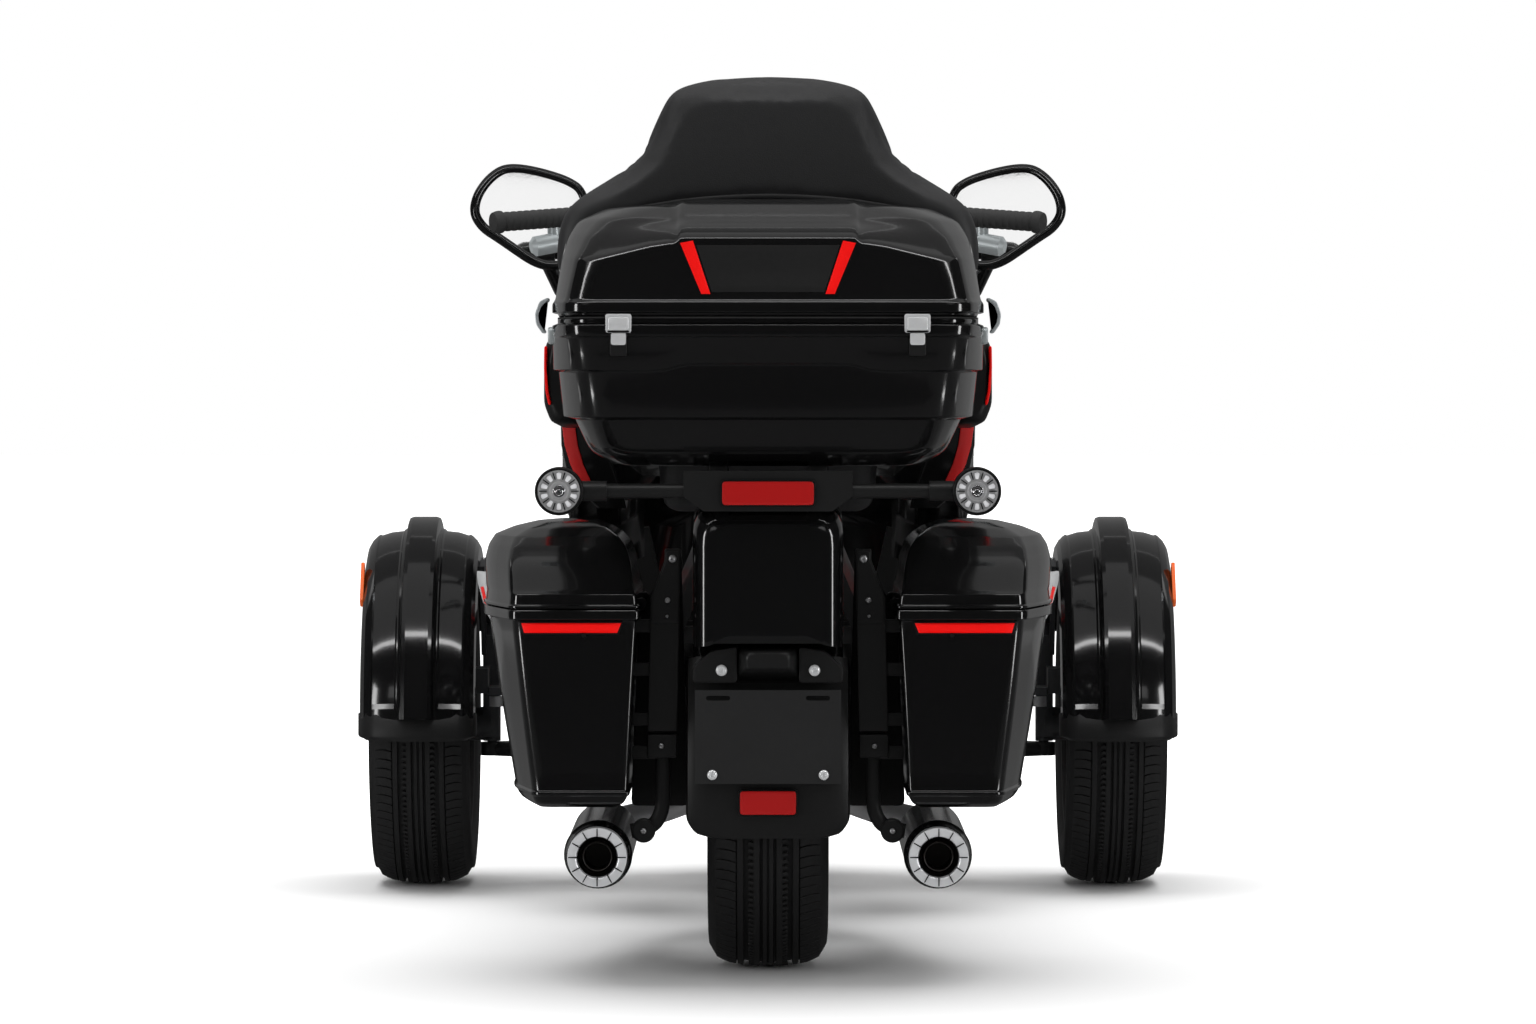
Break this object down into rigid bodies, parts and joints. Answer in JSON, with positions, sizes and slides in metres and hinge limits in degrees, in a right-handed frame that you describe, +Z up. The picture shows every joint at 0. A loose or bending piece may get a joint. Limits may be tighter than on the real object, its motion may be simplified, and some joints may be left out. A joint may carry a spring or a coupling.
{
  "type": "motorized trike",
  "caption": "Touring trike with two steered front wheels under fenders, one driven rear wheel, saddlebags, a top case with a passenger backrest, and twin exhausts.",
  "frame": {"origin": "on the floor, under the middle of the whole vehicle", "axes": "+Y forward, +X to the rider's right, +Z up"},
  "size_m": [1.439, 2.576, 1.374],
  "materials": {
    "gloss_black": "gloss",
    "satin_black": "satin",
    "frame_black": "satin",
    "engine_grey": "cast",
    "bright_steel": "brushed",
    "chrome": "polished",
    "wheel_alloy": "satin",
    "tyre": "matte",
    "grip_rubber": "matte",
    "seat_vinyl": "grained vinyl",
    "red_lens": "gloss",
    "amber_lens": "gloss",
    "clear_lens": "clear",
    "screen": "clear",
    "mirror_glass": "mirror",
    "plate_grey": "satin"
  },
  "bodies": {
    "chassis": {"lower_arms": "frame_black", "upper_arms": "frame_black", "front_shocks": "bright_steel", "steering_rack": "engine_grey", "frame_rear": "frame_black", "frame_middle": "frame_black", "frame_front": "frame_black", "engine_block": "engine_grey", "swingarm": "frame_black", "mufflers": "frame_black", "exhaust_tips": "chrome", "rear_fender": "gloss_black", "mudguard": "satin_black", "plate_bracket": "plate_grey", "tail_bracket": "satin_black", "turn_signals": "clear_lens", "rear_reflectors": "red_lens", "bag_brackets": "frame_black", "saddlebag_right": "gloss_black", "saddlebag_left": "gloss_black", "case_base": "gloss_black", "case_latches": "chrome", "pods": "satin_black", "seat": "seat_vinyl", "bodywork": "gloss_black", "front_fairing": "gloss_black", "windscreen": "screen", "headlamps": "clear_lens", "mirrors": "satin_black", "mirror_glass": "mirror_glass", "footboards": "satin_black"},
    "wheel_front_right": {"tyre_front_right": "tyre", "rim_front_right": "wheel_alloy"},
    "wheel_front_left": {"tyre_front_left": "tyre", "rim_front_left": "wheel_alloy"},
    "wheel_rear": {"tyre_rear": "tyre", "rim_rear": "wheel_alloy"},
    "knuckle_right": {"knuckle_right": "frame_black", "fender_right": "gloss_black", "side_reflector_right": "amber_lens"},
    "knuckle_left": {"knuckle_left": "frame_black", "fender_left": "gloss_black", "side_reflector_left": "amber_lens"},
    "handlebar": {"handlebar": "frame_black", "grips": "grip_rubber", "switchgear": "satin_black"},
    "tie_rods": {"tie_rods": "bright_steel"},
    "case_lid": {"case_lid": "gloss_black", "backrest": "seat_vinyl"},
    "bag_lid_right": {"bag_lid_right": "gloss_black", "bag_latch_right": "chrome"},
    "bag_lid_left": {"bag_lid_left": "gloss_black", "bag_latch_left": "chrome"}
  },
  "joints": [
    {"name": "steering", "type": "hinge", "parent": "chassis", "child": "handlebar", "pos_m": [0, 0.618, 1.12], "axis": [0, -0.4384, 0.8988], "range_deg": [-28, 28]},
    {"name": "knuckle_right_turn", "type": "hinge", "parent": "chassis", "child": "knuckle_right", "pos_m": [0.495, 0.888, 0.36], "axis": [0, 0, 1], "range_deg": [-25.2, 25.2]},
    {"name": "knuckle_left_turn", "type": "hinge", "parent": "chassis", "child": "knuckle_left", "pos_m": [-0.495, 0.888, 0.36], "axis": [0, 0, 1], "range_deg": [-25.2, 25.2]},
    {"name": "tie_rod_slide", "type": "slide", "parent": "chassis", "child": "tie_rods", "axis": [1, 0, 0], "range_m": [-0.0484, 0.0484]},
    {"name": "wheel_front_right_spin", "type": "hinge", "parent": "knuckle_right", "child": "wheel_front_right", "pos_m": [0.6135, 0.888, 0.285], "axis": [-1, 0, 0], "continuous": true},
    {"name": "wheel_front_left_spin", "type": "hinge", "parent": "knuckle_left", "child": "wheel_front_left", "pos_m": [-0.6135, 0.888, 0.285], "axis": [-1, 0, 0], "continuous": true},
    {"name": "wheel_rear_spin", "type": "hinge", "parent": "chassis", "child": "wheel_rear", "pos_m": [0, -0.812, 0.3], "axis": [-1, 0, 0], "continuous": true},
    {"name": "case_lid_hinge", "type": "hinge", "parent": "chassis", "child": "case_lid", "pos_m": [0, -0.752, 0.996], "axis": [-1, 0, 0], "range_deg": [0, 45]},
    {"name": "bag_lid_right_hinge", "type": "hinge", "parent": "chassis", "child": "bag_lid_right", "pos_m": [0.192, -0.896, 0.565], "axis": [0, -1, 0], "range_deg": [0, 35]},
    {"name": "bag_lid_left_hinge", "type": "hinge", "parent": "chassis", "child": "bag_lid_left", "pos_m": [-0.192, -0.896, 0.565], "axis": [0, 1, 0], "range_deg": [0, 35]}
  ],
  "couplings": [
    {"joint": "knuckle_right_turn", "follows": "steering", "ratio": 0.9},
    {"joint": "knuckle_left_turn", "follows": "steering", "ratio": 0.9},
    {"joint": "tie_rod_slide", "follows": "steering", "m_per_rad": 0.099}
  ]
}
